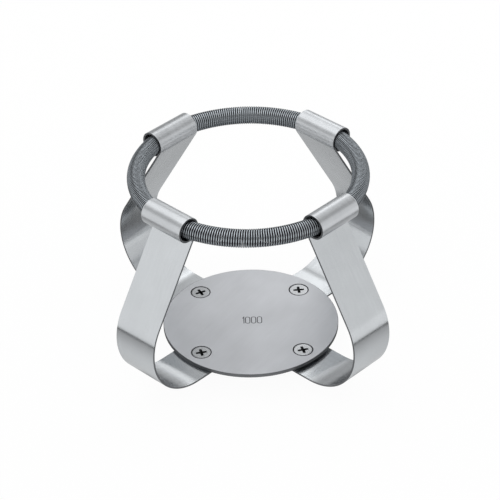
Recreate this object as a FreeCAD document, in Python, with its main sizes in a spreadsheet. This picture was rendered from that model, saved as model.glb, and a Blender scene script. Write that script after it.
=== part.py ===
import FreeCAD, Part
import math
import os
import Sketcher

# Flask clamp: two spring straps cross under a round support disc. Each strap turns up in two large
# bends, leans inward and ends in two rolled eyes. An endless coil spring runs through the four eyes and
# closes round the shoulder of the flask. Four countersunk screws hold disc and straps to a platform.
#
# Frame: millimetres, +Z up, origin at the centre of the lower strap's underside, which is the face that
# lies on the platform. The straps lie at 45 degrees to X and Y. The front is -Y.

SIZES = [
    # the round disc that the flask stands on
    ("disc_diameter", 70.0),
    ("disc_thickness", 1.5),
    ("disc_edge_chamfer", 0.2),
    # the screws, on the corners of a square, and the holes that they pass through
    ("screw_spacing", 40.0),
    ("screw_hole_diameter", 5.4),
    ("countersink_diameter", 8.2),
    ("screw_head_diameter", 7.6),
    ("screw_rim_height", 0.2),
    ("screw_neck_diameter", 3.5),
    ("screw_neck_length", 1.4),
    ("screw_diameter", 4.0),
    ("screw_length", 10.0),
    ("screw_tip_chamfer", 0.5),
    ("screw_seat_clearance", 0.03),
    # the cross recess in each screw's head
    ("recess_width", 0.9),
    ("recess_span", 4.2),
    ("recess_floor_span", 1.5),
    ("recess_depth", 2.0),
    # the two straps
    ("strap_width", 20.0),
    ("strap_thickness", 0.8),
    ("bend_radius", 22.5),
    ("lean_angle", 31.5),
    ("eye_reach", 42.4),
    ("eye_height", 73.0),
    ("eye_end_gap", 0.15),
    # the endless spring
    ("coil_diameter", 7.0),
    ("coil_clearance", 0.15),
    ("coil_ridge_depth", 0.3),
    ("coil_ridges", 104),
    ("coil_sides", 12),
]

# A straight eye holds a short arc of the round spring ring. Between the middle and the ends of the eye the
# arc runs inward by this much, and half of it lies on each side of the eye's axis.
ARC_HALF_DEPTH = "Sizes.strap_width ^ 2 / (16 * Sizes.eye_reach)"
RING_RADIUS = f"Sizes.eye_reach + {ARC_HALF_DEPTH}"
BORE_RADIUS = f"Sizes.coil_diameter / 2 + {ARC_HALF_DEPTH} + Sizes.coil_clearance"
SCREW_REACH = "Sizes.screw_spacing / sqrt(2)"
UPPER_STRAP_LEVEL = "Sizes.strap_thickness"
DISC_LEVEL = "2 * Sizes.strap_thickness"
HEAD_LEVEL = (
    f"{DISC_LEVEL} + Sizes.disc_thickness + Sizes.screw_seat_clearance + Sizes.screw_rim_height"
    " - (Sizes.countersink_diameter - Sizes.screw_head_diameter) / 2"
)

# FreeCAD's numbers for the places on a line or arc, and for a sketch's own origin and upright axis
START, END, CENTRE = range(1, 4)
ORIGIN, UPRIGHT = -1, -2
Z_AXIS = FreeCAD.Vector(0, 0, 1)

doc = FreeCAD.newDocument("flask_clamp")


def make_sheet():
    """The spreadsheet that holds every driving dimension under its alias."""
    sheet = doc.addObject("Spreadsheet::Sheet", "Sizes")
    for row, (alias, value) in enumerate(SIZES, start=1):
        sheet.set(f"A{row}", alias)
        sheet.set(f"B{row}", str(value))
        sheet.setAlias(f"B{row}", alias)
    doc.recompute()
    return sheet


sizes = make_sheet()


def value(expression):
    """The number that an expression of the sheet's sizes gives now."""
    return float(sizes.evalExpression(expression))


def new_body(name):
    """An empty body with its own label."""
    body = doc.addObject("PartDesign::Body", name)
    body.Label = name
    return body


def origin_feature(body, role):
    """The origin plane or axis of a body that has this role."""
    return next(feature for feature in body.Origin.OriginFeatures if feature.Role == role)


def new_sketch(body, name, plane):
    """A sketch on one of the body's own origin planes."""
    sketch = body.newObject("Sketcher::SketchObject", name)
    sketch.AttachmentSupport = [(origin_feature(body, plane), "")]
    sketch.MapMode = "FlatFace"
    return sketch


def add_dimension(sketch, name, constraint, expression):
    """Adds a named dimension whose value follows the sheet."""
    index = sketch.addConstraint(constraint)
    sketch.renameConstraint(index, name)
    sketch.setExpression(f"Constraints.{name}", expression)


def add_polygon(sketch, points):
    """Adds a closed run of lines through the points and joins their ends."""
    first = sketch.GeometryCount
    count = len(points)
    for index, point in enumerate(points):
        sketch.addGeometry(Part.LineSegment(point, points[(index + 1) % count]), False)
    for index in range(count):
        following = first + (index + 1) % count
        sketch.addConstraint(Sketcher.Constraint("Coincident", first + index, END, following, START))


def add_circle(sketch, x_expression, radius_expression):
    """Adds a circle centred on the sketch's own X axis."""
    centre = FreeCAD.Vector(value(x_expression), 0, 0)
    circle = sketch.addGeometry(Part.Circle(centre, Z_AXIS, value(radius_expression)), False)
    if value(x_expression) == 0:
        sketch.addConstraint(Sketcher.Constraint("Coincident", circle, CENTRE, ORIGIN, START))
    else:
        sketch.addConstraint(Sketcher.Constraint("PointOnObject", circle, CENTRE, ORIGIN))
        reach = Sketcher.Constraint("DistanceX", ORIGIN, START, circle, CENTRE, centre.x)
        add_dimension(sketch, "reach", reach, x_expression)
    radius = Sketcher.Constraint("Radius", circle, value(radius_expression))
    add_dimension(sketch, "radius", radius, radius_expression)


def pattern_round(body, originals, name, count, angle):
    """Repeats features round the body's Z axis and makes the result the body's tip."""
    pattern = body.newObject("PartDesign::PolarPattern", name)
    pattern.Originals = originals
    pattern.Axis = (origin_feature(body, "Z_Axis"), [""])
    pattern.Angle = angle
    pattern.Occurrences = count
    body.Tip = pattern
    return pattern


def make_support_disc():
    """The round disc with four countersunk holes, each on a diagonal of the square of screws."""
    body = new_body("support_disc")
    outline = new_sketch(body, "disc_outline", "XY_Plane")
    add_circle(outline, "0", "Sizes.disc_diameter / 2")
    plate = body.newObject("PartDesign::Pad", "disc_plate")
    plate.Profile = outline
    plate.setExpression("Length", "Sizes.disc_thickness")
    doc.recompute()

    chamfer = body.newObject("PartDesign::Chamfer", "disc_chamfer")
    rims = [
        f"Edge{number}"
        for number, edge in enumerate(plate.Shape.Edges, start=1)
        if isinstance(edge.Curve, Part.Circle)
    ]
    chamfer.Base = (plate, rims)
    chamfer.setExpression("Size", "Sizes.disc_edge_chamfer")

    centre = new_sketch(body, "hole_centre", "XY_Plane")
    centre.setExpression("AttachmentOffset.Base.z", "Sizes.disc_thickness")
    add_circle(centre, SCREW_REACH, "Sizes.screw_hole_diameter / 2")
    doc.recompute()
    hole = body.newObject("PartDesign::Hole", "countersunk_hole")
    hole.Profile = centre
    doc.recompute()
    hole.DepthType = "ThroughAll"
    hole.HoleCutType = "Countersink"
    hole.HoleCutCountersinkAngle = 90
    hole.setExpression("Diameter", "Sizes.screw_hole_diameter")
    hole.setExpression("HoleCutDiameter", "Sizes.countersink_diameter")
    doc.recompute()
    pattern_round(body, [hole], "hole_pattern", 4, 360)

    body.Placement.Rotation = FreeCAD.Rotation(Z_AXIS, 45)
    body.setExpression("Placement.Base.z", DISC_LEVEL)
    return body


def draw_strap_profile(sketch, eye_height_expression):
    """Draws half of a strap's section: the flat, the bend, the leaning leg and the rolled eye.

    The leg's inner face runs on as the outside of the eye. The roll goes over the top, down the outer side
    and ends just clear of the leg's outer face.
    """
    thickness = value("Sizes.strap_thickness")
    bend = value("Sizes.bend_radius")
    lean = math.radians(value("Sizes.lean_angle"))
    bore = value(BORE_RADIUS)
    rim = bore + thickness
    outward = FreeCAD.Vector(math.cos(lean), math.sin(lean), 0)
    upward = FreeCAD.Vector(-math.sin(lean), math.cos(lean), 0)
    eye = FreeCAD.Vector(value("Sizes.eye_reach"), value(eye_height_expression), 0)
    leg_top = eye - outward * rim
    bend_height = thickness + bend
    leg_length = (leg_top.y - bend_height - bend * math.sin(lean)) / math.cos(lean)
    bend_centre = leg_top - upward * leg_length - outward * bend
    roll_end = math.pi + lean
    roll_start = roll_end - 2 * math.pi + math.acos((bore - value("Sizes.eye_end_gap")) / rim)

    def on_circle(centre, radius, angle):
        return centre + FreeCAD.Vector(radius * math.cos(angle), radius * math.sin(angle), 0)

    def arc(centre, radius, first, last):
        return sketch.addGeometry(Part.ArcOfCircle(Part.Circle(centre, Z_AXIS, radius), first, last), False)

    def line(first, last):
        return sketch.addGeometry(Part.LineSegment(first, last), False)

    middle_top = FreeCAD.Vector(0, thickness, 0)
    flat_under = line(FreeCAD.Vector(0, 0, 0), FreeCAD.Vector(bend_centre.x, 0, 0))
    bend_outside = arc(bend_centre, bend + thickness, -math.pi / 2, lean)
    leg_outside = line(on_circle(bend_centre, bend + thickness, lean), eye - outward * bore)
    bore_wall = arc(eye, bore, roll_start, roll_end)
    free_end = line(on_circle(eye, bore, roll_start), on_circle(eye, rim, roll_start))
    rim_wall = arc(eye, rim, roll_start, roll_end)
    leg_inside = line(leg_top, on_circle(bend_centre, bend, lean))
    bend_inside = arc(bend_centre, bend, -math.pi / 2, lean)
    flat_top = line(FreeCAD.Vector(bend_centre.x, thickness, 0), middle_top)
    middle = line(middle_top, FreeCAD.Vector(0, 0, 0))

    for joined in (
        ("Coincident", flat_under, START, ORIGIN, START),
        ("Tangent", flat_under, END, bend_outside, START),
        ("Tangent", bend_outside, END, leg_outside, START),
        ("Tangent", leg_outside, END, bore_wall, END),
        ("Coincident", bore_wall, START, free_end, START),
        ("Coincident", free_end, END, rim_wall, START),
        ("Tangent", rim_wall, END, leg_inside, START),
        ("Tangent", leg_inside, END, bend_inside, END),
        ("Tangent", bend_inside, START, flat_top, START),
        ("Coincident", flat_top, END, middle, START),
        ("Coincident", middle, END, flat_under, START),
        ("Coincident", bend_inside, CENTRE, bend_outside, CENTRE),
        ("Coincident", rim_wall, CENTRE, bore_wall, CENTRE),
        ("PointOnObject", bore_wall, CENTRE, free_end),
        ("Horizontal", flat_under),
        ("Horizontal", flat_top),
        ("Vertical", middle),
        ("Parallel", leg_inside, leg_outside),
    ):
        sketch.addConstraint(Sketcher.Constraint(*joined))

    for name, constraint, expression in (
        ("thickness", ("Distance", middle, thickness), "Sizes.strap_thickness"),
        ("bend", ("Radius", bend_inside, bend), "Sizes.bend_radius"),
        ("lean", ("Angle", leg_outside, math.pi / 2 + lean), "Sizes.lean_angle + 90"),
        ("reach", ("DistanceX", ORIGIN, START, bore_wall, CENTRE, eye.x), "Sizes.eye_reach"),
        ("rise", ("DistanceY", ORIGIN, START, bore_wall, CENTRE, eye.y), eye_height_expression),
        ("bore", ("Radius", bore_wall, bore), BORE_RADIUS),
        ("gap", ("Distance", free_end, END, leg_outside, value("Sizes.eye_end_gap")), "Sizes.eye_end_gap"),
    ):
        add_dimension(sketch, name, Sketcher.Constraint(*constraint), expression)


def make_strap(name, level_expression, turn):
    """One strap with both of its legs and eyes, turned about Z, its flat lying at the given level."""
    body = new_body(name)
    section = new_sketch(body, f"{name}_section", "XZ_Plane")
    draw_strap_profile(section, f"Sizes.eye_height - ({level_expression})")
    half = body.newObject("PartDesign::Pad", f"{name}_half")
    half.Profile = section
    half.Midplane = True
    half.setExpression("Length", "Sizes.strap_width")
    doc.recompute()

    hole_sketch = new_sketch(body, f"{name}_hole", "XY_Plane")
    add_circle(hole_sketch, SCREW_REACH, "Sizes.screw_hole_diameter / 2")
    hole = body.newObject("PartDesign::Pocket", f"{name}_screw_hole")
    hole.Profile = hole_sketch
    hole.Reversed = True
    hole.setExpression("Length", "Sizes.strap_thickness")
    doc.recompute()

    whole = body.newObject("PartDesign::Mirrored", f"{name}_whole")
    whole.Originals = [half, hole]
    whole.MirrorPlane = (origin_feature(body, "YZ_Plane"), [""])
    body.Tip = whole

    body.Placement.Rotation = FreeCAD.Rotation(Z_AXIS, turn)
    body.setExpression("Placement.Base.z", level_expression)
    return body


def make_screw(name, side_x, side_y, recess_turn):
    """One countersunk screw with a cross recess. Its own origin is the middle of the head's top.

    The head is a short upright rim on a cone. Under the cone a short neck, as thin as the blank that the
    thread is rolled on, passes through the straps. The threaded shank begins below them.
    """
    body = new_body(name)
    section = new_sketch(body, f"{name}_section", "XZ_Plane")
    head = value("Sizes.screw_head_diameter / 2")
    rim_height = value("Sizes.screw_rim_height")
    neck = value("Sizes.screw_neck_diameter / 2")
    neck_length = value("Sizes.screw_neck_length")
    shank = value("Sizes.screw_diameter / 2")
    length = value("Sizes.screw_length")
    chamfer = value("Sizes.screw_tip_chamfer")
    neck_top = neck - head - rim_height
    neck_foot = neck_top - neck_length
    shank_top = neck_foot - (shank - neck)
    above = [(0, 0), (head, 0), (head, -rim_height), (neck, neck_top), (neck, neck_foot)]
    below = [(shank, shank_top), (shank, chamfer - length), (shank - chamfer, -length), (0, -length)]
    add_polygon(section, [FreeCAD.Vector(x, z, 0) for x, z in above + below])
    top, rim, cone, waist, shoulder, side, tip, bottom, axis = range(9)
    for fixed in (
        ("Coincident", top, START, ORIGIN, START),
        ("Horizontal", top),
        ("Vertical", rim),
        ("Vertical", waist),
        ("Vertical", side),
        ("Horizontal", bottom),
        ("Vertical", axis),
    ):
        section.addConstraint(Sketcher.Constraint(*fixed))
    for dimension, constraint, expression in (
        ("head", ("Distance", top, head), "Sizes.screw_head_diameter / 2"),
        ("rim_height", ("Distance", rim, rim_height), "Sizes.screw_rim_height"),
        ("neck", ("DistanceX", ORIGIN, START, waist, START, neck), "Sizes.screw_neck_diameter / 2"),
        (
            "cone_depth",
            ("DistanceY", cone, END, cone, START, head - neck),
            "(Sizes.screw_head_diameter - Sizes.screw_neck_diameter) / 2",
        ),
        ("neck_length", ("Distance", waist, neck_length), "Sizes.screw_neck_length"),
        ("shank", ("DistanceX", ORIGIN, START, side, START, shank), "Sizes.screw_diameter / 2"),
        (
            "shoulder_height",
            ("DistanceY", shoulder, END, shoulder, START, shank - neck),
            "(Sizes.screw_diameter - Sizes.screw_neck_diameter) / 2",
        ),
        ("length", ("Distance", axis, length), "Sizes.screw_length"),
        ("tip_width", ("DistanceX", tip, END, tip, START, chamfer), "Sizes.screw_tip_chamfer"),
        ("tip_height", ("DistanceY", tip, END, tip, START, chamfer), "Sizes.screw_tip_chamfer"),
    ):
        add_dimension(section, dimension, Sketcher.Constraint(*constraint), expression)
    turned = body.newObject("PartDesign::Revolution", f"{name}_turned")
    turned.Profile = section
    turned.ReferenceAxis = (section, ["V_Axis"])
    turned.Angle = 360
    doc.recompute()

    wing = new_sketch(body, f"{name}_wing", "XZ_Plane")
    span = value("Sizes.recess_span / 2")
    floor = value("Sizes.recess_floor_span / 2")
    depth = value("Sizes.recess_depth")
    corners = [(-span, 0), (span, 0), (floor, -depth), (-floor, -depth)]
    add_polygon(wing, [FreeCAD.Vector(x, z, 0) for x, z in corners])
    mouth, slope, base, _ = range(4)
    wing.addConstraint(Sketcher.Constraint("Symmetric", mouth, START, mouth, END, ORIGIN, START))
    wing.addConstraint(Sketcher.Constraint("Horizontal", mouth))
    wing.addConstraint(Sketcher.Constraint("Symmetric", base, START, base, END, UPRIGHT))
    for dimension, constraint, expression in (
        ("span", ("Distance", mouth, 2 * span), "Sizes.recess_span"),
        ("floor_span", ("Distance", base, 2 * floor), "Sizes.recess_floor_span"),
        ("depth", ("DistanceY", slope, END, slope, START, depth), "Sizes.recess_depth"),
    ):
        add_dimension(wing, dimension, Sketcher.Constraint(*constraint), expression)
    slot = body.newObject("PartDesign::Pocket", f"{name}_slot")
    slot.Profile = wing
    slot.Midplane = True
    slot.setExpression("Length", "Sizes.recess_width")
    doc.recompute()
    pattern_round(body, [slot], f"{name}_cross", 2, 90)

    body.Placement.Rotation = FreeCAD.Rotation(Z_AXIS, recess_turn)
    body.setExpression("Placement.Base.x", f"{side_x} * Sizes.screw_spacing / 2")
    body.setExpression("Placement.Base.y", f"{side_y} * Sizes.screw_spacing / 2")
    body.setExpression("Placement.Base.z", HEAD_LEVEL)
    return body


def make_spring_ring():
    """The endless coil spring, closed into a ring. Each ridge stands for three turns of the wire.

    The sections stand in planes through the ring's axis. They are wide on a ridge and narrow between two
    ridges, and flat three-sided faces join each section to the next.
    """
    ring_radius = value(RING_RADIUS)
    crest = value("Sizes.coil_diameter / 2")
    root = crest - value("Sizes.coil_ridge_depth")
    sections = 2 * int(value("Sizes.coil_ridges"))
    sides = int(value("Sizes.coil_sides"))

    points = []
    for section in range(sections):
        around = 2 * math.pi * section / sections
        radius = root if section % 2 else crest
        for side in range(sides):
            turn = 2 * math.pi * side / sides
            reach = ring_radius + radius * math.cos(turn)
            height = radius * math.sin(turn)
            points.append(FreeCAD.Vector(reach * math.cos(around), reach * math.sin(around), height))

    faces = []
    for section in range(sections):
        here, ahead = section * sides, (section + 1) % sections * sides
        for side in range(sides):
            beside = (side + 1) % sides
            faces.append((here + side, ahead + side, ahead + beside))
            faces.append((here + side, ahead + beside, here + beside))

    skin = Part.Shape()
    skin.makeShapeFromMesh((points, faces), 0.0001)
    ring = doc.addObject("Part::Feature", "spring_ring")
    ring.Label = "spring_ring"
    ring.Shape = Part.makeSolid(skin.Shells[0])
    ring.Placement.Base = Z_AXIS * value("Sizes.eye_height")
    return ring


def check_and_export(parts):
    """Stops if anything failed, then writes each piece to its own file."""
    doc.recompute()
    for item in doc.Objects:
        if "Invalid" in item.State or "Error" in item.State:
            raise RuntimeError(f"{item.Label} failed: {item.State}")
    for part in parts:
        shape = part.Shape
        if shape.isNull() or not shape.isValid() or len(shape.Solids) != 1:
            raise RuntimeError(f"{part.Label} isn't one valid solid")
    os.makedirs("parts", exist_ok=True)
    for part in parts:
        part.Shape.exportStep(f"parts/{part.Label}.step")
        box = part.Shape.BoundBox
        print(
            f"{part.Label}: volume {part.Shape.Volume:.2f} mm3, "
            f"x {box.XMin:.2f} to {box.XMax:.2f}, y {box.YMin:.2f} to {box.YMax:.2f}, "
            f"z {box.ZMin:.2f} to {box.ZMax:.2f}"
        )


parts = [
    make_strap("lower_strap", "0", -45),
    make_strap("upper_strap", UPPER_STRAP_LEVEL, 45),
    make_support_disc(),
    make_screw("screw_front_left", -1, -1, 12),
    make_screw("screw_front_right", 1, -1, 15),
    make_screw("screw_back_left", -1, 1, 25),
    make_screw("screw_back_right", 1, 1, 5),
    make_spring_ring(),
]
check_and_export(parts)
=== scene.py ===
import math
from dataclasses import dataclass, replace
from enum import Enum

import bmesh
import bpy
import numpy as np
from bpy.types import ID, Material, Node, NodeSocket as Socket, Object, World
from mathutils import Matrix, Vector


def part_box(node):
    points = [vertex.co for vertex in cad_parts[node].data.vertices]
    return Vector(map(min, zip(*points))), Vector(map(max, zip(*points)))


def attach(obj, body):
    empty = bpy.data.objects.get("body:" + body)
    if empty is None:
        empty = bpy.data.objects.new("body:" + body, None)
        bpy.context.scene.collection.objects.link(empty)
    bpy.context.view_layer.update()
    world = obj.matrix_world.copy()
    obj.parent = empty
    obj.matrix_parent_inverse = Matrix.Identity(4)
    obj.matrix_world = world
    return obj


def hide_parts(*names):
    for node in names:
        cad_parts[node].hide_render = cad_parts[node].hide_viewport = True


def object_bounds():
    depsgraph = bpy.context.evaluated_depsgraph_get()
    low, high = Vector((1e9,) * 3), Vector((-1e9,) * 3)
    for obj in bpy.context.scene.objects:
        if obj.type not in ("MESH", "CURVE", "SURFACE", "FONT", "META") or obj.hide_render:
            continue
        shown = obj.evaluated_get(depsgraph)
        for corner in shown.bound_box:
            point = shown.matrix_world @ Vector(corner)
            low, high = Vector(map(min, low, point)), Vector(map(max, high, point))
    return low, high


MILLIMETRE = 0.001
WELD_STEP = 1e-5
SMOOTH_ANGLE = math.radians(32)
QUARTER_TURN = math.pi / 2
FULL_TURN = 2 * math.pi
UP = np.array([0.0, 0.0, 1.0])
NO_QUADS = np.zeros((0, 4), int)
NO_TRIANGLES = np.zeros((0, 3), int)

SCREW_SQUARE = 40.0
HOLE_REACH = SCREW_SQUARE / 2 * math.sqrt(2)
HOLE_RADIUS = 2.7

GRAIN_MAP = "grain"
CARD_MAP = "card"
NOISE_LOW, NOISE_HIGH = 0.3, 0.7
FINE_DETAIL, BROAD_DETAIL = 2.0, 3.0
SMOOTH_RAMP = {"interpolation_type": "SMOOTHSTEP"}

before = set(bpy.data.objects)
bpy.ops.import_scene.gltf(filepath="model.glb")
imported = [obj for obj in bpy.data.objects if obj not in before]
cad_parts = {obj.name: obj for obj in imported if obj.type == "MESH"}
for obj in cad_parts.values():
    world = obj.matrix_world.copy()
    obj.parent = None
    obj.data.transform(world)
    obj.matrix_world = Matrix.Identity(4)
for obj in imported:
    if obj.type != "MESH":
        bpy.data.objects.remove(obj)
CAD_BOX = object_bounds()

Array = np.ndarray
Triple = tuple[float, float, float]


class Body(str, Enum):
    """The two rigid bodies of the clamp."""

    CLAMP = "clamp"
    RING = "ring"


class Slot(str, Enum):
    """The record's material slots."""

    STRAP = "strap_steel"
    DISC = "disc_steel"
    SCREW = "screw_steel"
    SPRING = "spring_steel"


@dataclass
class Patch:
    """A part of a surface, in millimetres.

    points holds one place in the clamp's frame per row. grain holds, for each point, its distance across
    and along the grain. quads and triangles hold the indices of their corners. finish is the number of the
    material that the faces take.
    """

    points: Array
    grain: Array
    quads: Array
    triangles: Array
    finish: int = 0

    def moved(self, degrees: float, shift: Array) -> "Patch":
        """The patch turned about the upright axis and then shifted, with the same grain."""
        return replace(self, points=turned(self.points, degrees) + shift)


def grid_patch(
    points: Array,
    grain: Array,
    finish: int = 0,
    wrap_rows: bool = False,
    wrap_columns: bool = True,
    left_out: Array | None = None,
) -> Patch:
    """A patch whose points lie on a grid, with a quad between each four neighbours.

    The last row or column joins the first where it wraps. left_out says, by row and column, which quads
    to leave out.
    """
    rows, columns = points.shape[:2]
    row = np.arange(rows if wrap_rows else rows - 1)[:, None]
    column = np.arange(columns if wrap_columns else columns - 1)
    here, there = row * columns, (row + 1) % rows * columns
    after = (column + 1) % columns
    quads = together(here + column, here + after, there + after, there + column)
    quads = quads.reshape(-1, 4) if left_out is None else quads[~left_out]
    return Patch(points.reshape(-1, 3), grain.reshape(-1, 2), quads, NO_TRIANGLES, finish)


def fan_patch(loop: Array, grain: Array, middle: Array, finish: int = 0) -> Patch:
    """Triangles from each edge of a closed loop to one point in its middle."""
    count = len(loop)
    here = np.arange(count)
    triangles = together(here, (here + 1) % count, count)
    points = np.vstack([loop, middle])
    return Patch(points, np.vstack([grain, grain.mean(axis=0)]), NO_QUADS, triangles, finish)


def unit(vectors: Array) -> Array:
    """The vectors with a length of one."""
    return vectors / np.linalg.norm(vectors, axis=-1, keepdims=True)


def together(*parts: Array | float) -> Array:
    """The parts as coordinates along the last axis of one array."""
    return np.stack(np.broadcast_arrays(*parts), axis=-1)


def arc(start: float, end: float, steps: int) -> Array:
    """The directions at even steps round an arc, in a plane, without the first."""
    angles = np.linspace(start, end, steps + 1)[1:]
    return together(np.cos(angles), np.sin(angles))


def circle_angles(count: int) -> Array:
    """Even angles round a full circle."""
    return FULL_TURN * np.arange(count) / count


def circles(radii: Array | float, heights: Array | float, angles: Array) -> Array:
    """Points round the upright axis, by circle, angle and coordinate."""
    return together(radii * np.cos(angles), radii * np.sin(angles), heights)


def hole_grid(border: Array, centre: Array, radius: float, steps: int = 4) -> Array:
    """The points of a flat grid from a closed border to a round hole inside it.

    Each row lies a fixed share of the way from the border to the circle, on the line between a border
    point and the point of the circle in the same direction from the centre.
    """
    circle = centre + radius * unit(border - centre)
    share = np.linspace(0, 1, steps + 1)[:, None, None]
    return border + share * (circle - border)


def turned(points: Array, degrees: float) -> Array:
    """The points turned about the upright axis."""
    angle = math.radians(degrees)
    across = np.array([math.cos(angle), math.sin(angle), 0.0])
    along = np.array([-math.sin(angle), math.cos(angle), 0.0])
    return points[..., :1] * across + points[..., 1:2] * along + points[..., 2:] * UP


def link_object(name: str, data: ID) -> Object:
    """Makes an object of a mesh, a lamp or a camera, and links it to the scene."""
    item = bpy.data.objects.new(name, data)
    bpy.context.scene.collection.objects.link(item)
    return item


def make_piece(name: str, patches: list[Patch], *finishes: "SteelFinish | MarkFinish") -> Object:
    """Joins patches into one closed mesh object, with the finishes in the order of their numbers.

    Points nearer than the weld step become one. Faces are turned outwards, shaded smooth, and kept sharp
    where they meet at more than the smooth angle.
    """
    starts = np.cumsum([0] + [len(patch.points) for patch in patches])
    points = np.vstack([patch.points for patch in patches])
    grain = np.vstack([patch.grain for patch in patches])
    quads = np.vstack([patch.quads + start for patch, start in zip(patches, starts)])
    triangles = np.vstack([patch.triangles + start for patch, start in zip(patches, starts)])
    counts = [len(patch.quads) for patch in patches] + [len(patch.triangles) for patch in patches]
    numbers = np.repeat([patch.finish for patch in patches] * 2, counts)
    keys = np.round(points / WELD_STEP).astype(np.int64)
    _, first, welded = np.unique(keys, axis=0, return_index=True, return_inverse=True)
    welded = welded.reshape(-1)

    mesh = bpy.data.meshes.new(name)
    faces = welded[quads].tolist() + welded[triangles].tolist()
    mesh.from_pydata((points[first] * MILLIMETRE).tolist(), [], faces)
    corner_grain = grain[np.concatenate([quads.ravel(), triangles.ravel()])]
    layer = mesh.uv_layers.new(name=GRAIN_MAP)
    layer.uv.foreach_set("vector", corner_grain.astype(np.float32).ravel())
    mesh.polygons.foreach_set("material_index", numbers.astype(np.int32))
    mesh.polygons.foreach_set("use_smooth", np.ones(len(faces), bool))
    for finish in finishes:
        mesh.materials.append(finish.material())

    work = bmesh.new()
    work.from_mesh(mesh)
    bmesh.ops.recalc_face_normals(work, faces=work.faces)
    work.to_mesh(mesh)
    work.free()
    mesh.set_sharp_from_angle(angle=SMOOTH_ANGLE)
    return link_object(name, mesh)


def grey(level: float) -> tuple[float, float, float, float]:
    """An opaque colour of one level."""
    return (level, level, level, 1.0)


class Bench:
    """The node tree of a material or a world, with short ways to add and join nodes."""

    def __init__(self, owner: Material | World) -> None:
        """Empties the owner's node tree."""
        self.owner = owner
        owner.use_nodes = True
        self.tree = owner.node_tree
        self.tree.nodes.clear()

    def add(self, kind: str, settings: dict[str, str] | None = None, **inputs: object) -> Node:
        """Adds the shader node of a kind, with its settings and inputs. Underscores stand for spaces."""
        node = self.tree.nodes.new(f"ShaderNode{kind}")
        for name, value in (settings or {}).items():
            setattr(node, name, value)
        for name, value in inputs.items():
            self.give(node, name.replace("_", " "), value)
        return node

    def give(self, node: Node, key: str | int, value: object) -> None:
        """Joins a socket to the input of that name or number, or sets the input's value."""
        if isinstance(value, Socket):
            self.tree.links.new(value, node.inputs[key])
        else:
            node.inputs[key].default_value = value

    def calculate(self, operation: str, *values: Socket | float) -> Socket:
        """The result of an operation on numbers."""
        node = self.add("Math", {"operation": operation})
        for index, value in enumerate(values):
            self.give(node, index, value)
        return node.outputs["Value"]

    def product(self, first: Socket, *others: Socket | float) -> Socket:
        """The product of numbers."""
        total = first
        for other in others:
            total = self.calculate("MULTIPLY", total, other)
        return total

    def mixed(self, share: Socket, first: Socket, second: Socket) -> Socket:
        """The first surface, with as much of the second as the share says."""
        node = self.add("MixShader")
        for index, value in enumerate((share, first, second)):
            self.give(node, index, value)
        return node.outputs["Shader"]

    def scaled(self, tone: Triple, level: Socket) -> Socket:
        """A tone times a level."""
        node = self.add("VectorMath", {"operation": "SCALE"}, Scale=level)
        self.give(node, 0, tone)
        return node.outputs["Vector"]

    def noise(self, place: Socket, sizes: Triple, detail: float) -> Socket:
        """Noise whose marks have one size for each direction of a place."""
        scale = tuple(1 / size for size in sizes)
        mapping = self.add("Mapping", Vector=place, Scale=scale)
        noise = self.add("TexNoise", Vector=mapping.outputs["Vector"], Scale=1.0, Detail=detail)
        return noise.outputs["Fac"]

    def spread(self, noise: Socket, middle: float, reach: float) -> Socket:
        """Maps the usual range of a noise to the range of a reach either side of a middle value."""
        node = self.add(
            "MapRange",
            Value=noise,
            From_Min=NOISE_LOW,
            From_Max=NOISE_HIGH,
            To_Min=middle - reach,
            To_Max=middle + reach,
        )
        return node.outputs["Result"]

    def seen_directly(self) -> Socket:
        """One for rays from the camera, off glossy surfaces or through clear ones, and else zero."""
        path = self.add("LightPath")
        total = path.outputs["Is Camera Ray"]
        for name in ("Is Glossy Ray", "Is Transmission Ray"):
            total = self.calculate("MAXIMUM", total, path.outputs[name])
        return total

    def finish(self, surface: Socket) -> Material | World:
        """Joins the surface to the output and returns the owner."""
        is_world = isinstance(self.owner, World)
        self.add("OutputWorld" if is_world else "OutputMaterial", Surface=surface)
        return self.owner


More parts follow.
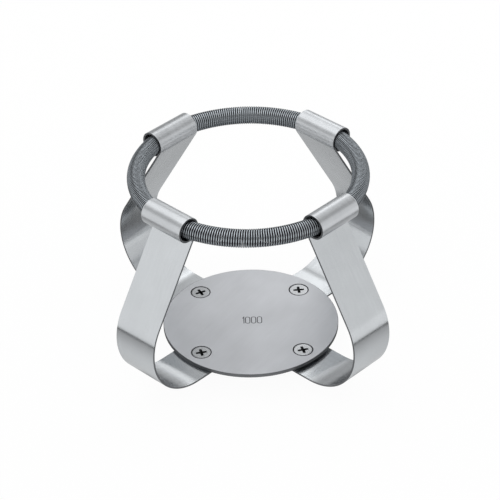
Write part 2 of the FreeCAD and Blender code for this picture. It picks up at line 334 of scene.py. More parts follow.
@dataclass(frozen=True)
class SteelFinish:
    """Bare steel with the marks of its making.

    tone is the colour that it reflects, and edge_tone how much of that it keeps at a grazing look. fine and
    broad marks have a width and a length in millimetres, and lie in rings on turned steel. shade is how far
    marks change the tone, and mark_depth how deep the fine ones are. A wire gets a painted highlight along
    its crest line and painted shade on its flanks: crest holds the distances from that line at which its tone
    begins and ends to fall, to flank_share of the full tone.
    """

    name: str
    tone: Triple
    edge_tone: float
    roughness: float
    roughness_spread: float
    fine: tuple[float, float]
    broad: tuple[float, float]
    shade: float
    cloud_size: float
    cloud_shade: float
    mark_depth: float
    anisotropy: float = 0.0
    rings: bool = False
    crest: tuple[float, float] | None = None
    flank_share: float = 1.0

    def painted_crest_highlight(self, bench: Bench, place: Socket) -> Socket:
        """A painted highlight and shade: one on the crest line, falling to the flank share on both sides of
        it.
        """
        split = bench.add("SeparateXYZ", Vector=place)
        near, far = self.crest
        fall = bench.add(
            "MapRange",
            SMOOTH_RAMP,
            Value=bench.calculate("ABSOLUTE", split.outputs["X"]),
            From_Min=near,
            From_Max=far,
            To_Min=1.0,
            To_Max=self.flank_share,
        )
        return fall.outputs["Result"]

    def material(self) -> Material:
        """Builds a metal whose tone, roughness and bump follow stretched noise on the piece's grain map, and
        whose tone on a wire also carries a painted highlight along its crest.
        """
        bench = Bench(bpy.data.materials.new(self.name))
        place = bench.add("UVMap", {"uv_map": GRAIN_MAP}).outputs["UV"]
        if self.rings:
            length = bench.add("VectorMath", {"operation": "LENGTH"})
            bench.give(length, 0, place)
            place = bench.add("CombineXYZ", X=length.outputs["Value"]).outputs["Vector"]
        fine = bench.noise(place, (*self.fine, 1.0), FINE_DETAIL)
        broad = bench.noise(place, (*self.broad, 1.0), BROAD_DETAIL)
        own_place = bench.add("TexCoord").outputs["Object"]
        cloud = bench.noise(own_place, (self.cloud_size * MILLIMETRE,) * 3, FINE_DETAIL)
        levels = [
            bench.spread(fine, 1.0, self.shade),
            bench.spread(broad, 1.0, self.shade),
            bench.spread(cloud, 1.0, self.cloud_shade),
        ]
        if self.crest is not None:
            levels.append(self.painted_crest_highlight(bench, place))
        bump = bench.add("Bump", Height=fine, Strength=1.0, Distance=self.mark_depth * MILLIMETRE)
        tangent = bench.add("Tangent", {"direction_type": "UV_MAP", "uv_map": GRAIN_MAP})
        steel = bench.add(
            "BsdfPrincipled",
            Base_Color=bench.scaled(self.tone, bench.product(*levels)),
            Metallic=1.0,
            Roughness=bench.spread(broad, self.roughness, self.roughness_spread),
            Normal=bump.outputs["Normal"],
            Anisotropic=self.anisotropy,
            Tangent=tangent.outputs["Tangent"],
            Specular_Tint=grey(self.edge_tone),
        )
        return bench.finish(steel.outputs["BSDF"])


STRAP_FACE = SteelFinish(
    name="strap_face", tone=(0.598, 0.621, 0.640), edge_tone=0.75, roughness=0.23, roughness_spread=0.03,
    fine=(0.12, 9.0), broad=(0.9, 34.0), shade=0.022, cloud_size=16.0, cloud_shade=0.035,
    mark_depth=0.0010, anisotropy=0.9,
)
ROLLED_FACE = replace(
    STRAP_FACE, name="rolled_face", tone=(0.584, 0.603, 0.622), roughness=0.34, anisotropy=0.3,
    fine=(0.12, 5.0), broad=(0.9, 12.0), cloud_size=9.0, cloud_shade=0.045,
)
DISC_FACE = replace(
    STRAP_FACE, name="disc_face", tone=(0.555, 0.568, 0.592), roughness=0.46, roughness_spread=0.02,
    fine=(0.30, 9.0), broad=(2.6, 30.0), cloud_size=20.0, cloud_shade=0.06, mark_depth=0.0008,
    anisotropy=0.0,
)
# The cut sides, end caps, hole walls and the disc's rim: a duller steel, darkened much further by painted
# shade.
SHEARED_EDGE_AND_SHADE = SteelFinish(
    name="sheared_edge_and_shade", tone=(0.150, 0.155, 0.162), edge_tone=0.6, roughness=0.46, roughness_spread=0.05,
    fine=(0.2, 0.4), broad=(1.2, 3.0), shade=0.10, cloud_size=9.0, cloud_shade=0.06, mark_depth=0.006,
)
# Near black: painted shade on the countersink walls, for the dark gap round each screw head.
SINK_PAINTED_SHADE = replace(
    SHEARED_EDGE_AND_SHADE, name="sink_painted_shade", tone=(0.050, 0.052, 0.055), edge_tone=0.4, roughness=0.5,
    shade=0.08, cloud_shade=0.05, mark_depth=0.003,
)
SCREW_BRIGHT = SteelFinish(
    name="screw_bright", tone=(0.450, 0.462, 0.476), edge_tone=0.8, roughness=0.26, roughness_spread=0.04,
    fine=(0.14, 9.0), broad=(0.5, 9.0), shade=0.05, cloud_size=3.0, cloud_shade=0.03, mark_depth=0.002,
    rings=True,
)
# Near black: painted shade in the cross recess and on the head's rim and cone, where the head meets the
# countersink.
SCREW_PAINTED_SHADE = replace(
    SCREW_BRIGHT, name="screw_painted_shade", tone=(0.045, 0.047, 0.050), edge_tone=0.4, roughness=0.5,
    roughness_spread=0.05,
)
# The crest settings paint a highlight along each turn's crest and shade on its flanks.
SPRING_WIRE = SteelFinish(
    name="spring_wire", tone=(0.458, 0.495, 0.530), edge_tone=0.6, roughness=0.22, roughness_spread=0.04,
    fine=(0.10, 12.0), broad=(0.5, 40.0), shade=0.04, cloud_size=14.0, cloud_shade=0.05, mark_depth=0.0,
    crest=(0.08, 0.28), flank_share=0.12,
)


@dataclass(frozen=True)
class MarkFinish:
    """The dull dark line that a marking laser leaves on steel."""

    name: str = "laser_mark"
    tone: Triple = (0.035, 0.037, 0.042)
    roughness: float = 0.6
    speckle_size: float = 0.25
    speckle_shade: float = 0.15

    def material(self) -> Material:
        """Builds the node material: an oxide grey broken up by small speckles."""
        bench = Bench(bpy.data.materials.new(self.name))
        place = bench.add("TexCoord").outputs["Object"]
        speckle = bench.noise(place, (self.speckle_size * MILLIMETRE,) * 3, FINE_DETAIL)
        colour = bench.scaled(self.tone, bench.spread(speckle, 1.0, self.speckle_shade))
        oxide = bench.add("BsdfPrincipled", Base_Color=colour, Roughness=self.roughness)
        return bench.finish(oxide.outputs["BSDF"])


@dataclass
class Strap:
    """One strip of spring steel with a flat middle, two large bends, two leaning legs and two rolled eyes.

    Lengths are in millimetres. level is the height of the flat's underside, and turn the direction of the
    strip in degrees from X. rim_insets are the distances of the last lines along a face from its edge.
    The finish of the eyes begins roll_margin steps round the roll.
    """

    name: str
    node: str
    level: float
    turn: float
    coil_radius: float
    width: float = 20.0
    thickness: float = 0.8
    bend_radius: float = 22.5
    lean: float = 31.5
    eye_reach: float = 42.4
    eye_height: float = 73.0
    coil_clearance: float = 0.15
    eye_end_gap: float = 0.15
    hole_frame: float = 5.0
    edge_radius: float = 0.10
    rim_insets: Triple = (0.0, 0.06, 0.6)
    edge_steps: int = 4
    inner_steps: int = 11
    frame_steps: int = 16
    outer_steps: int = 5
    bend_steps: int = 72
    leg_steps: int = 21
    roll_steps: int = 89
    roll_margin: int = 3

    def bore(self) -> float:
        """The eye's inner radius: the coil, half the depth of the ring's arc, and the clearance."""
        return self.coil_radius + self.width**2 / (16 * self.eye_reach) + self.coil_clearance

    def frame_lines(self) -> Array:
        """The distances from the screw hole's centre of the lines in its square frame."""
        return np.linspace(-self.hole_frame, self.hole_frame, self.frame_steps + 1)

    def path(self) -> tuple[Array, Array, Array]:
        """The course of the strip's middle from its centre to the end of one eye.

        The flat runs out to the bend's centre. The bend turns it up to the lean. The leg runs straight to
        the eye, where the strip's middle goes on round the eye's centre and ends short of the leg. Given
        are the stations as reach and height, the direction of the inner face there, and the distance run.
        """
        lean = math.radians(self.lean)
        outward = np.array([math.cos(lean), math.sin(lean)])
        upward = np.array([-math.sin(lean), math.cos(lean)])
        half = self.thickness / 2
        bore = self.bore()
        eye = np.array([self.eye_reach, self.eye_height - self.level])
        leg_top = eye - outward * (bore + half)
        bend = self.bend_radius + half
        bend_height = self.thickness + self.bend_radius
        leg_length = (leg_top[1] - bend_height - bend * math.sin(lean)) / math.cos(lean)
        bend_centre = leg_top - upward * leg_length - outward * bend

        near, far = HOLE_REACH - self.hole_frame, HOLE_REACH + self.hole_frame
        flat_reach = np.concatenate(
            [
                np.linspace(0, near, self.inner_steps + 1)[:-1],
                np.linspace(near, far, self.frame_steps + 1)[:-1],
                np.linspace(far, bend_centre[0], self.outer_steps + 1),
            ]
        )
        flat = together(flat_reach, half)
        bend_directions = arc(-QUARTER_TURN, lean, self.bend_steps)
        turn_up = bend_centre + bend * bend_directions
        share = np.linspace(0, 1, self.leg_steps + 1)[1:, None]
        leg = turn_up[-1] + share * (leg_top - turn_up[-1])
        start = math.pi + lean
        end = start - FULL_TURN + math.acos((bore - self.eye_end_gap) / (bore + self.thickness))
        roll_directions = arc(start, end, self.roll_steps)
        roll = eye + (bore + half) * roll_directions

        stations = np.vstack([flat, turn_up, leg, roll])
        flat_inward, leg_inward = np.tile([0.0, 1.0], (len(flat), 1)), np.tile(-outward, (len(leg), 1))
        inward = np.vstack([flat_inward, -bend_directions, leg_inward, roll_directions])
        steps = np.linalg.norm(np.diff(stations, axis=0), axis=1)
        return stations, inward, np.concatenate([[0.0], np.cumsum(steps)])

    def section(self) -> tuple[Array, Array]:
        """The strip's closed section: two flat faces, two sheared sides and four small round corners.

        Given are its points as distances across and inward, and whether the quad after each is on a side.
        """
        across, half, radius = self.width / 2, self.thickness / 2, self.edge_radius
        rim_lines = across - radius - np.array(self.rim_insets)
        lines = np.concatenate([-rim_lines, self.frame_lines(), rim_lines[::-1]])
        top = together(lines, half)
        upper = arc(QUARTER_TURN, 0, self.edge_steps) * radius + [across - radius, half - radius]
        right = np.vstack([upper, upper[::-1] * [1, -1]])
        section = np.vstack([top, right, top[::-1] * [1, -1], right[::-1] * [-1, 1]])
        is_side = np.zeros(len(section), bool)
        first = len(top) - 1 + self.edge_steps // 2
        for start in (first, first + len(right) + len(top)):
            is_side[start : start + len(right) + 1 - self.edge_steps] = True
        return section, is_side

    def arm(self) -> list[Patch]:
        """The patches of the half strip that runs out along X.

        One grid gives its faces, sheared sides and rolled part, with a window in both flat faces.
        """
        stations, inward, run = self.path()
        section, is_side = self.section()
        places = stations[:, None] + inward[:, None] * section[:, 1:]
        points = together(places[..., 0], section[:, 0], places[..., 1])
        grain = together(section[:, 0], run[:, None])

        following = np.roll(section, -1, axis=0)
        is_face = section[:, 1] == following[:, 1]
        by_hole = np.abs(section + following)[:, 0] / 2 < self.hole_frame
        step = np.arange(len(stations) - 1)[:, None]
        on_frame = (step >= self.inner_steps) & (step < self.inner_steps + self.frame_steps)
        window = on_frame & is_face & by_hole
        sides, rolled = np.broadcast_arrays(is_side, step >= len(step) - self.roll_steps + self.roll_margin)
        end = points[-1]
        return [
            grid_patch(points, grain, left_out=window | sides | rolled),
            grid_patch(points, grain, finish=1, left_out=~sides),
            grid_patch(points, grain, finish=2, left_out=sides | ~rolled),
            fan_patch(end, grain[-1], end.mean(axis=0), finish=1),
            *self.hole_patches(),
        ]

    def hole_patches(self) -> list[Patch]:
        """The two flat frames round the screw hole, and the hole's wall."""
        line, side = self.frame_lines()[:-1], self.hole_frame
        square = [(line, -side), (side, line), (-line, side), (-side, -line)]
        centre = np.array([HOLE_REACH, 0.0, 0.0])
        border = centre + np.vstack([together(*pair, 0.0) for pair in square])
        grid = hole_grid(border, centre, HOLE_RADIUS)
        grain = grid[..., [1, 0]]
        lift = self.thickness * UP
        wall = np.stack([grid[-1], grid[-1] + lift])
        return [
            grid_patch(grid, grain),
            grid_patch(grid + lift, grain),
            grid_patch(wall, np.stack([grain[-1], grain[-1]]), finish=1),
        ]

    def build(self) -> None:
        """Builds the strap from two arms, half a turn apart."""
        turns = (self.turn, self.turn + 180)
        patches = [patch.moved(turn, self.level * UP) for turn in turns for patch in self.arm()]
        piece = make_piece(self.name, patches, STRAP_FACE, SHEARED_EDGE_AND_SHADE, ROLLED_FACE)
        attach(piece, Body.CLAMP.value)
        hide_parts(self.node)


@dataclass
class SupportDisc:
    """The round plate under the flask, with four countersunk holes.

    Lengths are in millimetres. A flat face has rings of quads between radii, and a window round each hole
    that is frame_rows rings deep. rim_insets are the distances of the last radii from the face's edge.
    """

    radius: float
    bottom: float
    top: float
    edge_radius: float = 0.18
    edge_steps: int = 4
    sink_radius: float = 4.1
    sectors: int = 256
    middle_radius: float = 1.5
    frame_inner: float = 22.8
    frame_outer: float = 33.8
    rim_insets: Triple = (0.3, 0.05, 0.0)
    inner_rows: int = 9
    frame_rows: int = 8
    frame_half_sectors: int = 8
    grain_direction: float = 55.0

    def grain_of(self, points: Array) -> Array:
        """The distances across and along the brushing, which runs straight over the whole disc."""
        return turned(points, -self.grain_direction)[..., [1, 0]]

    def face(self, height: float, hole: float) -> list[Patch]:
        """One flat face at a height, with four holes of one radius.

        It has a polar grid with a window round each hole, the middle, and a frame in each window.
        """
        radii = np.concatenate(
            [
                np.linspace(self.middle_radius, self.frame_inner, self.inner_rows + 1)[:-1],
                np.linspace(self.frame_inner, self.frame_outer, self.frame_rows + 1),
                self.radius - self.edge_radius - np.array(self.rim_insets),
            ]
        )
        points = circles(radii[:, None], height, circle_angles(self.sectors))
        quarter = self.sectors // 4
        columns = quarter // 2 + np.arange(-self.frame_half_sectors, self.frame_half_sectors + 1)
        rows = self.inner_rows + np.arange(self.frame_rows + 1)
        window = np.zeros((len(radii) - 1, 4, quarter), bool)
        window[rows[0] : rows[-1], :, columns[0] : columns[-1]] = True
        window = window.reshape(len(radii) - 1, self.sectors)
        patches = [
            grid_patch(points, self.grain_of(points), left_out=window),
            fan_patch(points[0], self.grain_of(points[0]), height * UP),
        ]
        border = np.vstack(
            [
                points[rows[0], columns[:-1]],
                points[rows[:-1], columns[-1]],
                points[rows[-1], columns[:0:-1]],
                points[rows[:0:-1], columns[0]],
            ]
        )
        middle = SCREW_SQUARE / 2
        rim = hole_grid(border, np.array([middle, middle, height]), hole)
        for turn in (0, 90, 180, 270):
            placed = turned(rim, turn)
            patches.append(grid_patch(placed, self.grain_of(placed)))
        return patches

    def walls(self, faces: list[list[Patch]]) -> list[Patch]:
        """The countersinks between the holes of the top face and those of the bottom face.

        Each is a cone down from the top, and the short straight wall under it.
        """
        patches = []
        straight = self.top - self.bottom - (self.sink_radius - HOLE_RADIUS)
        columns = 4 * self.frame_half_sectors + 2 * self.frame_rows
        for upper, lower in zip(faces[0][2:], faces[1][2:]):
            mouth, foot = upper.points[-columns:], lower.points[-columns:]
            throat = foot + straight * UP
            wall = np.stack([mouth, (mouth + throat) / 2, throat, foot])
            # Finish 2 paints the countersink walls dark: painted shade.
            patches.append(grid_patch(wall, self.grain_of(wall), finish=2))
        return patches

    def rim(self) -> Patch:
        """The disc's edge: a profile of two small rounds and a straight wall, turned about the axis."""
        quarter = np.linspace(QUARTER_TURN, 0, self.edge_steps + 1)
        reach = self.radius - self.edge_radius + self.edge_radius * np.cos(quarter)
        drop = self.edge_radius - self.edge_radius * np.sin(quarter)
        radii = np.concatenate([reach, reach[::-1]])[:, None]
        heights = np.concatenate([self.top - drop, self.bottom + drop[::-1]])[:, None]
        angles = circle_angles(self.sectors)
        grain = together(heights, self.radius * angles)
        return grid_patch(circles(radii, heights, angles), grain, finish=1)

    def build(self) -> None:
        """Builds the plate."""
        faces = [self.face(self.top, self.sink_radius), self.face(self.bottom, HOLE_RADIUS)]
        patches = faces[0] + faces[1] + self.walls(faces) + [self.rim()]
        piece = make_piece("disc_plate", patches, DISC_FACE, SHEARED_EDGE_AND_SHADE, SINK_PAINTED_SHADE)
        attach(piece, Body.CLAMP.value)
        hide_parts("support_disc")


@dataclass
class NumberMark:
    """The plain capacity number, 1000, in thin strokes of even width, as a marking laser draws it."""

    surface: float
    x: float = 0.5
    y: float = 0.2
    height: float = 4.2
    zero_count: int = 3
    zero_width: float = 1.74
    arc_points: int = 17
    pitch: float = 2.38
    flag_width: float = 0.55
    flag_height: float = 0.88
    stroke: float = 0.34
    thickness: float = 0.01

    def zero_line(self, left: float) -> Array:
        """The closed middle line of a 0: a tall box whose ends are half circles."""
        radius = self.zero_width / 2
        straight = self.height / 2 - radius
        angles = np.linspace(0, math.pi, self.arc_points)
        upper = together(radius * np.cos(angles), straight + radius * np.sin(angles))
        return np.vstack([upper, -upper]) + [left + radius, 0.0]

    def one_line(self, left: float) -> Array:
        """The open middle line of a 1: a short flag, then the upright."""
        half, right = self.height / 2, left + self.flag_width
        return np.array([[left, half - self.flag_height], [right, half], [right, -half]])

    def ribbon(self, line: Array, closed: bool) -> list[Patch]:
        """The patches of a thin raised band along a flat line, which may end where it starts.

        The band's sides lie half a stroke to either side of the line, along the mean of the directions
        square to its two neighbouring runs.
        """
        before, after = np.roll(line, 1, axis=0), np.roll(line, -1, axis=0)
        if not closed:
            before[0], after[-1] = 2 * line[0] - line[1], 2 * line[-1] - line[-2]
        first, second = unit(line - before), unit(after - line)
        mean = unit(first + second)
        square = together(-mean[:, 1], mean[:, 0])
        spread = self.stroke / 2 / (square[:, 0] * -first[:, 1] + square[:, 1] * first[:, 0])
        offset = square * spread[:, None]
        low, high = self.surface - self.thickness / 2, self.surface + self.thickness / 2
        loops = []
        for side, height in ((1, low), (1, high), (-1, high), (-1, low)):
            flat = line + side * offset + [self.x, self.y]
            loops.append(together(*flat.T, height))
        points = np.stack(loops, axis=1)
        patches = [grid_patch(points, points[..., :2], wrap_rows=closed)]
        if not closed:
            for end in (points[0], points[-1]):
                patches.append(fan_patch(end, end[:, :2], end.mean(axis=0)))
        return patches

    def build(self) -> None:
        """Builds the number as one piece that lies in the disc's top."""
        left = -(self.flag_width + self.zero_count * self.pitch) / 2
        patches = self.ribbon(self.one_line(left), closed=False)
        first_zero = left + self.flag_width + self.pitch - self.zero_width
        for digit in range(self.zero_count):
            patches += self.ribbon(self.zero_line(first_zero + digit * self.pitch), closed=True)
        piece = make_piece("disc_number", patches, MarkFinish())
        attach(piece, Body.CLAMP.value)


@dataclass
class Screw:
    """A countersunk screw with a cross recess and a rolled thread, in millimetres from the head's top.

    The recess narrows from its outline at the top to its floor, and ends floor_drop lower in its middle.
    thread_fill widens the thread's ridges. Over thread_runout the thread grows out of the neck, and ends
    at the tip, whose cone is tip_cut deep.
    """

    name: str
    node: str
    x: float
    y: float
    top: float
    recess_turn: float
    head_radius: float
    length: float
    rim_height: float = 0.2
    rim_radius: float = 0.19
    neck_radius: float = 1.75
    neck_length: float = 1.4
    shank_radius: float = 2.0
    thread_depth: float = 0.36
    thread_pitch: float = 0.7
    thread_fill: float = 1.35
    thread_runout: float = 0.5
    tip_cut: float = 0.5
    recess_reach: float = 2.18
    recess_half_width: float = 0.58
    floor_reach: float = 0.90
    floor_half_width: float = 0.40
    floor_drop: float = 0.25
    recess_depth: float = 1.75
    recess_roundness: float = 7.0
    sides: int = 96
    recess_steps: int = 6
    face_steps: int = 7
    rim_steps: int = 4
    pitch_steps: int = 10

    def cross(self, angles: Array, reach: float, half_width: float) -> Array:
        """The recess's outline as a radius for each angle.

        An arm ends at its reach and is bounded by its half width. The two limits are blended by a power
        mean, which rounds the arm's corners, and the arms repeat every quarter turn.
        """
        folded = (angles + math.pi / 4) % QUARTER_TURN - math.pi / 4
        power = self.recess_roundness
        limits = (np.cos(folded) / reach) ** power + (np.abs(np.sin(folded)) / half_width) ** power
        return limits ** (-1 / power)

    def neck_foot(self) -> float:
        """The height at which the neck ends and the thread begins."""
        return self.neck_radius - self.head_radius - self.rim_height - self.neck_length

    def thread_radius(self, angles: Array, height: float) -> Array:
        """The thread's radius at a height, for each angle. A rounded ridge climbs one pitch for each turn."""
        phase = FULL_TURN * height / self.thread_pitch - angles
        ridge = 0.5 + 0.5 * np.cos(phase)
        groove = self.thread_depth * (1 - np.clip(self.thread_fill * ridge, 0, 1))
        start = np.clip((self.neck_foot() - height) / self.thread_runout, 0, 1)
        end = np.clip((height + self.length) / self.thread_runout, 0, 1)
        neck = (self.shank_radius - self.neck_radius) * (1 - start)
        return self.shank_radius - groove * start * end - neck - self.tip_cut * (1 - end)

    def bands(self, angles: Array) -> list[tuple[int, list[tuple[Array | float, float]]]]:
        """The screw's surface as loops round its axis, from the recess's floor up, over the rim and down.

        Each band has its finish number and its loops, as a radius and a height. It begins at the last loop
        of the one before.
        """
        recess = []
        for share in np.linspace(1, 0, self.recess_steps + 1):
            reach = self.recess_reach + share * (self.floor_reach - self.recess_reach)
            half_width = self.recess_half_width + share * (self.floor_half_width - self.recess_half_width)
            recess.append((self.cross(angles, reach, half_width), -share * self.recess_depth))
        outline = recess[-1][0]
        flat = self.head_radius - self.rim_radius
        shares = np.linspace(0, 1, self.face_steps + 1)[1:]
        face = [(outline + share * (flat - outline), 0.0) for share in shares]
        rim = [
            (flat + self.rim_radius * sine, self.rim_radius * (cosine - 1))
            for sine, cosine in arc(QUARTER_TURN, 0, self.rim_steps)
        ]
        neck_foot = self.neck_foot()
        cone = [(self.head_radius, -self.rim_height), (self.neck_radius, neck_foot + self.neck_length)]
        step = self.thread_pitch / self.pitch_steps
        heights = [*np.arange(neck_foot - step, -self.length + step / 2, -step), -self.length]
        thread = [(self.thread_radius(angles, height), height) for height in heights]
        # The recess and the head's rim and cone take finish 1, which is painted shade; the face and the
        # thread take finish 0.
        return [(1, recess), (0, face), (1, rim + cone), (0, [(self.neck_radius, neck_foot), *thread])]

    def build(self) -> None:
        """Builds the screw."""
        angles = circle_angles(self.sides)
        patches, before = [], []
        for finish, loops in self.bands(angles):
            points = np.stack([circles(radius, height, angles) for radius, height in before + loops])
            patches.append(grid_patch(points, points[..., :2], finish))
            before = loops[-1:]
        floor, tip = patches[0].points[: self.sides], patches[-1].points[-self.sides :]
        patches += [
            fan_patch(floor, floor[:, :2], (-self.recess_depth - self.floor_drop) * UP, finish=1),
            fan_patch(tip, tip[:, :2], -self.length * UP),
        ]
        place = np.array([self.x, self.y, self.top])
        placed = [patch.moved(self.recess_turn, place) for patch in patches]
        piece = make_piece(self.name, placed, SCREW_BRIGHT, SCREW_PAINTED_SHADE)
        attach(piece, Body.CLAMP.value)
        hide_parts(self.node)


@dataclass
class SpringRing:
    """The endless coil spring: round wire wound close about a circle, in millimetres."""

    ring_radius: float
    coil_radius: float
    height: float
    turns: int = 312
    wire_radius: float = 0.40
    steps: int = 24
    wire_sides: int = 12

    def build(self) -> None:
        """Builds the coil.

        The wire's middle runs round a circle that itself runs round the ring, with all turns spread evenly.
        At each place the wire's own circle lies in the plane of the direction away from the ring's line
        and the direction square to that and to the wire. The first and last places are one, as are the
        first and last sides of the wire, so that the grain has no jump.
        """
        around = np.linspace(0, FULL_TURN, self.turns * self.steps + 1)
        phase = self.turns * around
        wind = self.coil_radius - self.wire_radius
        out = circles(1.0, 0.0, around)
        away = np.cos(phase)[:, None] * out + np.sin(phase)[:, None] * UP
        middle = self.ring_radius * out + wind * away + self.height * UP
        ahead = np.roll(middle[:-1], -1, axis=0) - np.roll(middle[:-1], 1, axis=0)
        ahead = unit(np.vstack([ahead, ahead[:1]]))
        beside = unit(np.cross(ahead, away))
        square = np.cross(beside, ahead)
        turn = np.linspace(-math.pi, math.pi, self.wire_sides + 1)
        circle = self.wire_radius * together(np.cos(turn), np.sin(turn))
        points = middle[:, None] + circle[:, :1] * square[:, None] + circle[:, 1:] * beside[:, None]
        grain = together(self.wire_radius * turn, (phase * wind)[:, None])
        piece = make_piece("spring_coil", [grid_patch(points, grain, wrap_columns=False)], SPRING_WIRE)
        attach(piece, Body.RING.value)
        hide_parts("spring_ring")


@dataclass(frozen=True)
class Panel:
    """A rectangle whose front faces an aim, in metres."""

    name: str
    place: Triple
    aim: Triple
    width: float
    height: float

    def pose(self) -> Matrix:
        """The matrix that puts the panel in its place."""
        turn = (Vector(self.aim) - Vector(self.place)).to_track_quat("-Z", "Y")
        return Matrix.Translation(self.place) @ turn.to_matrix().to_4x4()


@dataclass(frozen=True)
class Softbox(Panel):
    """A soft lamp that isn't seen by the camera."""

    brightness: float

    def build(self) -> None:
        """Makes the lamp. Its power follows from its brightness and area, so that size doesn't change it."""
        lamp = bpy.data.lights.new(self.name, "AREA")
        lamp.shape = "RECTANGLE"
        lamp.size, lamp.size_y = self.width, self.height
        lamp.energy = math.pi * self.width * self.height * self.brightness
        item = link_object(self.name, lamp)
        item.matrix_world = self.pose()
        item.visible_camera = False


@dataclass(frozen=True)
class Card(Panel):
    """A grey card that only shows in the steel's reflections, with edges that fade out.

    fade is how far from each edge the card reaches its full tone, as a share of its side.
    """

    tone: float
    fade: float

    def material(self) -> Material:
        """Builds the card's even grey glow, which a map from 0 to 1 across the card fades at its edges."""
        bench = Bench(bpy.data.materials.new(self.name))
        own = bench.add("UVMap", {"uv_map": CARD_MAP})
        split = bench.add("SeparateXYZ", Vector=own.outputs["UV"])
        shares = []
        for axis in ("X", "Y"):
            distance = bench.calculate("PINGPONG", split.outputs[axis], 0.5)
            ramp = bench.add("MapRange", SMOOTH_RAMP, Value=distance, From_Max=self.fade)
            shares.append(ramp.outputs["Result"])
        glow = bench.add("Emission", Color=grey(self.tone), Strength=1.0)
        clear = bench.add("BsdfTransparent")
        return bench.finish(
            bench.mixed(bench.product(*shares), clear.outputs["BSDF"], glow.outputs["Emission"])
        )

    def build(self) -> None:
        """Makes the card, square to the line from its place to its aim."""
        flat = np.array([[-1, -1], [1, -1], [1, 1], [-1, 1]])
        sizes = (flat * [self.width / 2, self.height / 2]).tolist()
        pose = self.pose()
        mesh = bpy.data.meshes.new(self.name)
        mesh.from_pydata([tuple(pose @ Vector((x, y, 0.0))) for x, y in sizes], [], [[0, 1, 2, 3]])
        layer = mesh.uv_layers.new(name=CARD_MAP)
        layer.uv.foreach_set("vector", ((flat + 1) / 2).astype(np.float32).ravel())
        mesh.materials.append(self.material())
        card = link_object(self.name, mesh)
        card.visible_camera = card.visible_diffuse = card.visible_transmission = card.visible_shadow = False


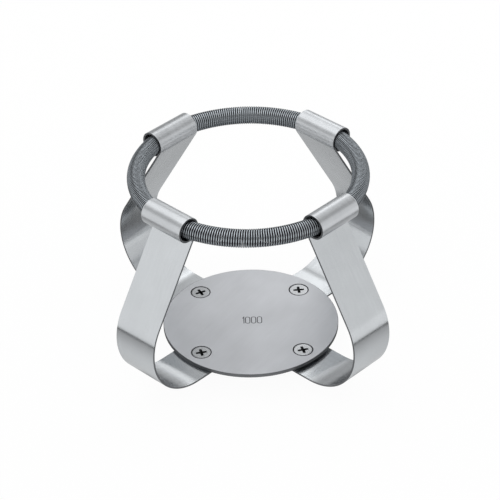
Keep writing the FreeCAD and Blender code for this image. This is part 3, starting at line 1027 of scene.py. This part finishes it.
@dataclass(frozen=True)
class Studio:
    """A white floor in a white room, soft lamps, and grey cards for the steel to reflect, in metres.

    backdrop_share is how much of the floor is plain white where it is seen. The table is a square of
    cards on the floor, from the tone at its edge to that in its middle, with a dark seam round it.
    The dark square under the clamp, a painted contact shadow, lies under_back behind the clamp's middle.
    """

    floor_height: float
    floor_radius: float = 2.5
    floor_sides: int = 96
    floor_tone: float = 0.92
    floor_roughness: float = 0.5
    backdrop_share: float = 0.95
    room_light: float = 0.90
    boxes: tuple[Softbox, ...] = (
        Softbox("lamp_back_left", (-0.20, 0.47, 0.70), (-0.01, 0.0, 0.07), 0.46, 0.14, 1.10),
        Softbox("lamp_back_right", (0.26, 0.42, 0.35), (0.03, 0.0, 0.0), 0.46, 0.20, 1.30),
        Softbox("lamp_top_left", (-0.30, 0.0, 0.78), (-0.03, 0.0, 0.07), 0.40, 0.34, 1.20),
    )
    cards: tuple[Card, ...] = (
        Card("card_front", (0.0, -1.30, 0.85), (0.0, 0.0, 0.05), 2.00, 1.10, 0.22, 0.2),
        Card("card_back_low", (0.0, 0.62, 0.13), (0.0, 0.0, 0.13), 1.00, 0.44, 0.60, 0.25),
        Card("card_back_left", (-0.25, 0.46, 0.33), (-0.03, 0.0, 0.0), 0.50, 0.34, 0.33, 0.12),
        Card("card_back_middle", (0.06, 0.45, 0.205), (0.0, 0.0, 0.0), 0.22, 0.13, 0.78, 0.35),
        Card("card_back_right", (0.27, 0.40, 0.72), (0.0, 0.0, 0.07), 0.44, 0.26, 0.30, 0.25),
        Card("card_left", (-0.60, 0.02, 0.50), (0.0, 0.0, 0.07), 0.80, 0.40, 0.46, 0.25),
        Card("card_right", (0.54, 0.14, 0.58), (0.0, 0.0, 0.07), 0.86, 0.52, 0.34, 0.25),
        Card("card_right_low", (0.70, -0.10, 0.22), (0.0, 0.0, 0.04), 0.80, 0.34, 0.84, 0.15),
    )
    table_half: float = 0.152
    table_tones: tuple[float, float] = (0.45, 1.0)
    table_fade: float = 0.42
    seam_width: float = 0.028
    seam_tone: float = 0.03
    seam_fade: float = 0.01
    under_half: float = 0.051
    under_back: float = 0.012
    under_tone: float = 0.19
    under_fade: float = 0.1
    card_lift: float = 0.0004

    def floor_material(self) -> Material:
        """A matt pale floor, most of which is plain white where it is seen, so that only shadows tint it."""
        bench = Bench(bpy.data.materials.new("studio_floor"))
        colour = grey(self.floor_tone)
        matt = bench.add("BsdfDiffuse", Color=colour, Roughness=self.floor_roughness)
        white = bench.add("Emission", Color=grey(1.0), Strength=1.0)
        share = bench.product(bench.seen_directly(), self.backdrop_share)
        return bench.finish(bench.mixed(share, matt.outputs["BSDF"], white.outputs["Emission"]))

    def build_floor(self) -> None:
        """Makes the round floor."""
        rim = circles(self.floor_radius, self.floor_height, circle_angles(self.floor_sides))
        mesh = bpy.data.meshes.new("floor")
        mesh.from_pydata(rim.tolist(), [], [list(range(self.floor_sides))])
        mesh.materials.append(self.floor_material())
        link_object("floor", mesh)

    def build_room(self) -> None:
        """Makes the room: white where it is seen, also in reflections, and a little less as light."""
        bpy.context.scene.world = bpy.data.worlds.new("room")
        bench = Bench(bpy.context.scene.world)
        room = bench.add("Background", Color=grey(self.room_light))
        white = bench.add("Background", Color=grey(1.0))
        seen = bench.seen_directly()
        bench.finish(bench.mixed(seen, room.outputs["Background"], white.outputs["Background"]))

    def build_table(self) -> None:
        """Makes the grey table top that the bends reflect, and the dark seam round it.

        Four cards lie on each other: a wide dark one, the table's edge tone, a paler tone that fades in
        towards the table's middle, and the dark of the clamp's own contact shadow.
        """
        size = 2 * self.table_half
        edge_tone, middle_tone = self.table_tones
        plates = (
            ("card_seam", 0.0, size + 2 * self.seam_width, self.seam_tone, self.seam_fade),
            ("card_table_edge", 0.0, size, edge_tone, self.seam_fade),
            ("card_table_middle", 0.0, size, middle_tone, self.table_fade),
            # A dark card that paints the clamp's contact shadow into the reflections.
            ("card_painted_shadow", self.under_back, 2 * self.under_half, self.under_tone, self.under_fade),
        )
        for layer, (name, back, side, tone, fade) in enumerate(plates, start=1):
            level = self.floor_height + layer * self.card_lift
            Card(name, (0.0, back, level), (0.0, back, level - 1.0), side, side, tone, fade).build()

    def build(self) -> None:
        """Makes the floor, the room, the cards and the lamps."""
        self.build_floor()
        self.build_room()
        self.build_table()
        for item in (*self.cards, *self.boxes):
            item.build()
        bpy.context.scene.view_settings.view_transform = "Standard"


@dataclass(frozen=True)
class PhotoCamera:
    """A camera that looks at the disc's top as the photograph's does.

    azimuth, elevation and roll are in degrees, and distance and aim in metres. pixel is where the aim lies
    in the photograph, whose frame is frame_pixels wide and high.
    """

    aim: Triple
    azimuth: float = -0.881
    elevation: float = 35.117
    roll: float = -0.999
    distance: float = 0.89464
    lens: float = 160.85
    sensor: float = 36.0
    clip: tuple[float, float] = (0.05, 20.0)
    frame_pixels: float = 500.0
    pixel: tuple[float, float] = (250.875, 320.357)

    def build(self) -> None:
        """Makes the camera and sets it as the scene's.

        It stands at the distance from the aim, measured along its line of sight, and is shifted sideways
        and upwards so that the aim falls on its pixel.
        """
        azimuth, elevation, roll = map(math.radians, (self.azimuth, self.elevation, self.roll))
        level = Vector((math.cos(azimuth), math.sin(azimuth), 0.0))
        forward = Vector((-level.y, level.x, 0.0))
        back = math.sin(elevation) * Vector(UP) - math.cos(elevation) * forward
        upright = back.cross(level)
        right = math.cos(roll) * level + math.sin(roll) * upright
        up = -math.sin(roll) * level + math.cos(roll) * upright
        focal = self.lens / self.sensor * self.frame_pixels
        aside, below = ((pixel - self.frame_pixels / 2) / focal * self.distance for pixel in self.pixel)
        place = Vector(self.aim) + self.distance * back - aside * right + below * up
        data = bpy.data.cameras.new("photo_camera")
        data.lens, data.sensor_width = self.lens, self.sensor
        data.clip_start, data.clip_end = self.clip
        camera = link_object("photo_camera", data)
        camera.matrix_world = Matrix.Translation(place) @ Matrix((right, up, back)).transposed().to_4x4()
        bpy.context.scene.camera = camera


def node_box(node: str) -> tuple[Vector, Vector]:
    """A CAD node's lowest and highest corners, in millimetres."""
    low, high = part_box(node)
    return low / MILLIMETRE, high / MILLIMETRE


def main() -> None:
    """Builds the clamp from the frame outwards, then the studio and the camera."""
    ring_low, ring_high = node_box("spring_ring")
    coil_radius = (ring_high.z - ring_low.z) / 2
    ring_radius = ring_high.x - coil_radius
    SpringRing(ring_radius, coil_radius, height=(ring_high.z + ring_low.z) / 2).build()

    lower_level = round(node_box("lower_strap")[0].z, 1)
    lower = Strap("strap_lower", "lower_strap", lower_level, turn=-45, coil_radius=coil_radius)
    upper_level = lower_level + lower.thickness
    upper = Strap("strap_upper", "upper_strap", upper_level, turn=45, coil_radius=coil_radius)
    for strap in (lower, upper):
        strap.build()

    disc_low, disc_high = node_box("support_disc")
    disc_bottom = upper_level + upper.thickness
    disc_top = disc_bottom + round(disc_high.z - disc_low.z, 1)
    SupportDisc(radius=round(disc_high.x, 1), bottom=disc_bottom, top=disc_top).build()
    NumberMark(surface=disc_top).build()

    recess_turns = {
        "screw_front_left": 12.0,
        "screw_front_right": 15.0,
        "screw_back_left": 25.0,
        "screw_back_right": 5.0,
    }
    for node, recess_turn in recess_turns.items():
        low, high = node_box(node)
        screw = Screw(
            name=f"{node}_body",
            node=node,
            x=round((low.x + high.x) / 2, 1),
            y=round((low.y + high.y) / 2, 1),
            top=round(high.z, 2),
            recess_turn=recess_turn,
            head_radius=round((high.x - low.x) / 2, 2),
            length=round(high.z - low.z, 1),
        )
        screw.build()

    Studio(floor_height=CAD_BOX[0].z).build()
    PhotoCamera(aim=(0.0, 0.0, disc_top * MILLIMETRE)).build()


if __name__ == "__main__":
    main()
